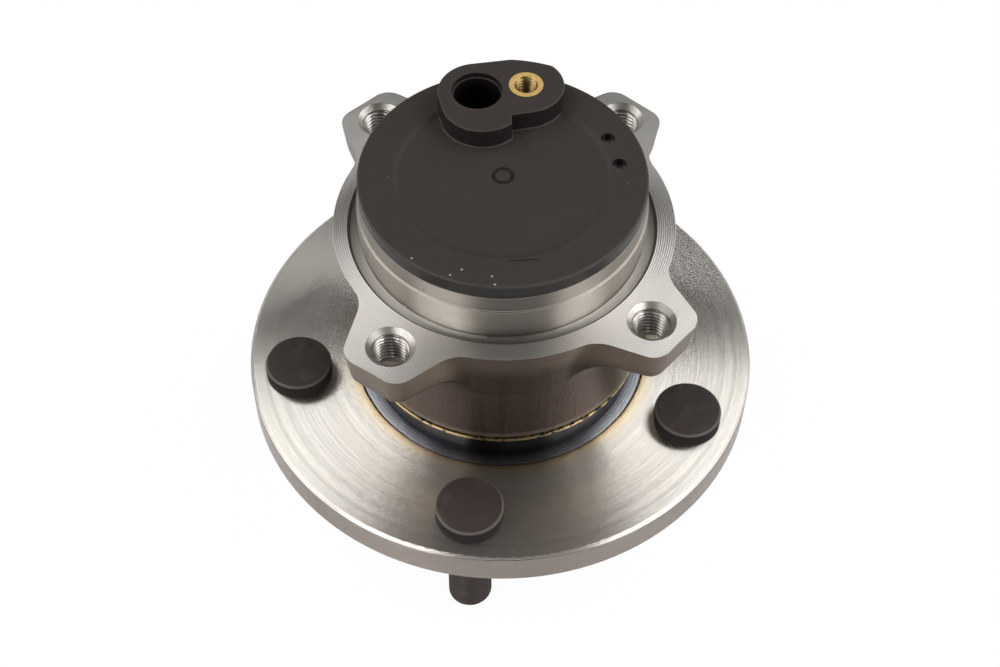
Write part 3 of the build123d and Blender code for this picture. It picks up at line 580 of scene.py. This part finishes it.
cap_plastic, shade = new_material("moulded_cap_plastic")
point = place_in_mm(shade)
x, y, z, radius = turned_place(shade, point)
cloud = noise(shade, point, 0.10, 3.0)
mould = noise(shade, point, 2.2, 4.0, 0.7)
dark = cloud.pick(colour(0.025, 0.0200, 0.0172), colour(0.032, 0.0260, 0.0222))
dark = (mould.rise(0.45, 0.75) * 0.4).pick(dark, colour(0.048, 0.040, 0.036))
specks = noise(shade, point, 1.35, 1.0, 0.3).rise(0.82, 0.84) * 0.5
for chip_x, chip_y in chips:
    specks = specks | across(x - chip_x, y - chip_y).fall(0.18, 0.34)
dark = (specks * 0.8).pick(dark, colour(0.40, 0.37, 0.34))
bend = marks_along(shade, x, 0.6) * 0.4 - 0.2
scratch = (y - scratch_y + bend).between(-0.2, 0.2, 0.05) * x.between(-0.8, 6.8, 0.4)
scratch = scratch * z.rise(cap_disc_z - 0.02, cap_disc_z + 0.02)
dark = scratch.pick(dark, colour(0.006, 0.005, 0.004))

# Painted shade: the cap's upright walls, its skirt, the inside of the mould pin holes and the
# groove round the gate are painted near black.
facing = shade.node("ShaderNodeNewGeometry", output="Normal")
level = shade.node("ShaderNodeSeparateXYZ", (), {0: facing}, output="Z")
shaded_skirt = radius.rise(36.3, 36.9) * z.fall(80.4, 81.0)
shaded_walls = level.fall(0.15, 0.75) | shaded_skirt
for pin_x, pin_y in mould_pin_holes:
    shaded_pin_hole = across(x - pin_x, y - pin_y).fall(pin_hole_rim - 0.02, pin_hole_rim + 0.02)
    shaded_walls = shaded_walls | shaded_pin_hole * z.fall(81.0, 81.2)
shaded_gate_groove = radius.between(1.95, 2.9, 0.08) * z.fall(80.86, 80.9)
dark = (shaded_walls * 0.9 | shaded_gate_groove * 0.75).pick(dark, colour(0.005, 0.004, 0.0035))
cap_rough = 0.52 + mould * 0.12 - shaded_walls * 0.2
cap_normal = bumped(shade, mould, 0.025)
close_material(shade, dark, 0.0, cap_rough, cap_normal, Specular_IOR_Level=0.22)
dress("sensor_cap", cap_plastic)

# Threaded insert: turned brass with an M6 x 1 thread, moulded into the boss of the cap.
# The sensor's screw goes into it.
insert_x, insert_y = 7.887, 26.360
insert_bore_radius = 3.03
insert_top_z = 86.7

brass, shade = new_material("turned_brass")
point = place_in_mm(shade)
x, y, z, radius = turned_place(shade, point)
own_x, own_y = x - insert_x, y - insert_y
own_radius = across(own_x, own_y)
tarnish = noise(shade, point, 0.6, 3.0)
yellow = tarnish.pick(colour(0.44, 0.31, 0.13), colour(0.68, 0.53, 0.27))
# Painted shade: the bore and the thread in it are painted a darker brown.
shaded_insert_bore = own_radius.fall(insert_bore_radius, insert_bore_radius + 0.05)
yellow = (shaded_insert_bore * 0.8).pick(yellow, colour(0.20, 0.125, 0.045))
flat = z.rise(insert_top_z, insert_top_z + 0.03) * (1 - shaded_insert_bore)
faced = tarnish.pick(colour(0.50, 0.31, 0.085), colour(0.74, 0.52, 0.20))
yellow = flat.pick(yellow, faced)
rings = marks_along(shade, along_cut(own_radius, z), 9.0, 2.0)
brass_normal = turned_normal(shade, own_x, own_y, rings - 0.5, 0.3)
close_material(shade, yellow, 1.0 - flat * 0.65, 0.28 + tarnish * 0.1, brass_normal)
dress("screw_insert", brass)

sleeve = tapped_thread(
    crest_radius=2.5, root_radius=2.98, wall_radius=3.02,
    pitch=1.0, top=insert_top_z, bottom=80.3, steps=48,
)
keep_own_place(sleeve, insert_x, insert_y)
make_piece(sleeve, "insert_thread", "knuckle_side", brass)

# Studio: a pale floor at the tips of the studs. Two softboxes hang overhead, two stand
# low in front for the bands on the upright walls, and two weak ones fill the sides.
# The sky is dim above and pale at the horizon.
floor_mesh = bmesh.new()
bmesh.ops.create_grid(floor_mesh, x_segments=1, y_segments=1, size=6.0)
bmesh.ops.translate(floor_mesh, verts=floor_mesh.verts, vec=(0, 0, stud_tip_z * MM))
floor_data = bpy.data.meshes.new("studio_floor")
floor_mesh.to_mesh(floor_data)
floor_mesh.free()
floor = bpy.data.objects.new("studio_floor", floor_data)
bpy.context.scene.collection.objects.link(floor)

floor_white, shade = new_material("studio_floor_white")
matt = shade.node("ShaderNodeBsdfDiffuse", (), {"Color": colour(0.88, 0.88, 0.88)})
glow = shade.node("ShaderNodeEmission", (), {"Color": colour(1, 1, 1), "Strength": 1.0})
ray = shade.node("ShaderNodeLightPath", output="Is Camera Ray")
seen = ray | ray.output("Is Glossy Ray") | ray.output("Is Transmission Ray")
mixed = shade.node("ShaderNodeMixShader", (), {0: seen * 0.95, 1: matt, 2: glow})
shade.node("ShaderNodeOutputMaterial", (), {"Surface": mixed})
floor_data.materials.append(floor_white)

world = bpy.data.worlds.new("studio_sky")
world.use_nodes = True
world.node_tree.nodes.clear()
bpy.context.scene.world = world
sky = Shade(world.node_tree)
up = sky.node("ShaderNodeTexCoord", output="Generated")
height = sky.node("ShaderNodeSeparateXYZ", (), {0: up}, output="Z")
overhead = height.ramp(
    (0.00, (0.60, 0.60, 0.60)),
    (0.35, (0.28, 0.28, 0.28)),
    (0.75, (0.08, 0.08, 0.08)),
)
ray = sky.node("ShaderNodeLightPath", output="Is Camera Ray")
straight = ray | ray.output("Is Transmission Ray")
sky_colour = straight.pick(overhead, colour(1, 1, 1))
light = sky.node("ShaderNodeBackground", (), {"Color": sky_colour, "Strength": 1.0})
sky.node("ShaderNodeOutputWorld", (), {"Surface": light})


def softbox(name, place, width, height, watts):
    """A light with a flat face, turned towards the middle of the unit. Sizes in metres."""
    data = bpy.data.lights.new(name, "AREA")
    data.shape = "RECTANGLE"
    data.size = width
    data.size_y = height
    data.energy = watts
    lamp = bpy.data.objects.new(name, data)
    lamp.location = place
    aim = Vector((0, 0, 0.03)) - Vector(place)
    lamp.rotation_euler = aim.to_track_quat("-Z", "Y").to_euler()
    bpy.context.scene.collection.objects.link(lamp)


softbox("softbox_left", (-0.62, 0.13, 0.80), 1.00, 0.64, 6.3)
softbox("softbox_right", (0.64, 0.08, 0.80), 1.00, 0.64, 6.3)
softbox("softbox_front_left", (-0.66, -0.70, 0.26), 0.62, 0.44, 6.4)
softbox("softbox_front_right", (0.74, -0.62, 0.26), 0.62, 0.44, 6.4)
softbox("softbox_side_left", (-1.00, 0.05, 0.25), 0.80, 0.46, 3.4)
softbox("softbox_side_right", (1.00, 0.10, 0.25), 0.80, 0.46, 3.4)

lens = bpy.data.cameras.new("studio_camera")
lens.lens = 66.5117
lens.sensor_width = 36
camera = bpy.data.objects.new("studio_camera", lens)
camera.location = (-0.0258401, -0.3186182, 0.4261449)
camera_turn = (radians(37.91075), radians(-0.46288), radians(-4.00567))
camera.rotation_euler = Euler(camera_turn, "XYZ")
bpy.context.scene.collection.objects.link(camera)
bpy.context.scene.camera = camera
bpy.context.scene.view_settings.view_transform = "Standard"
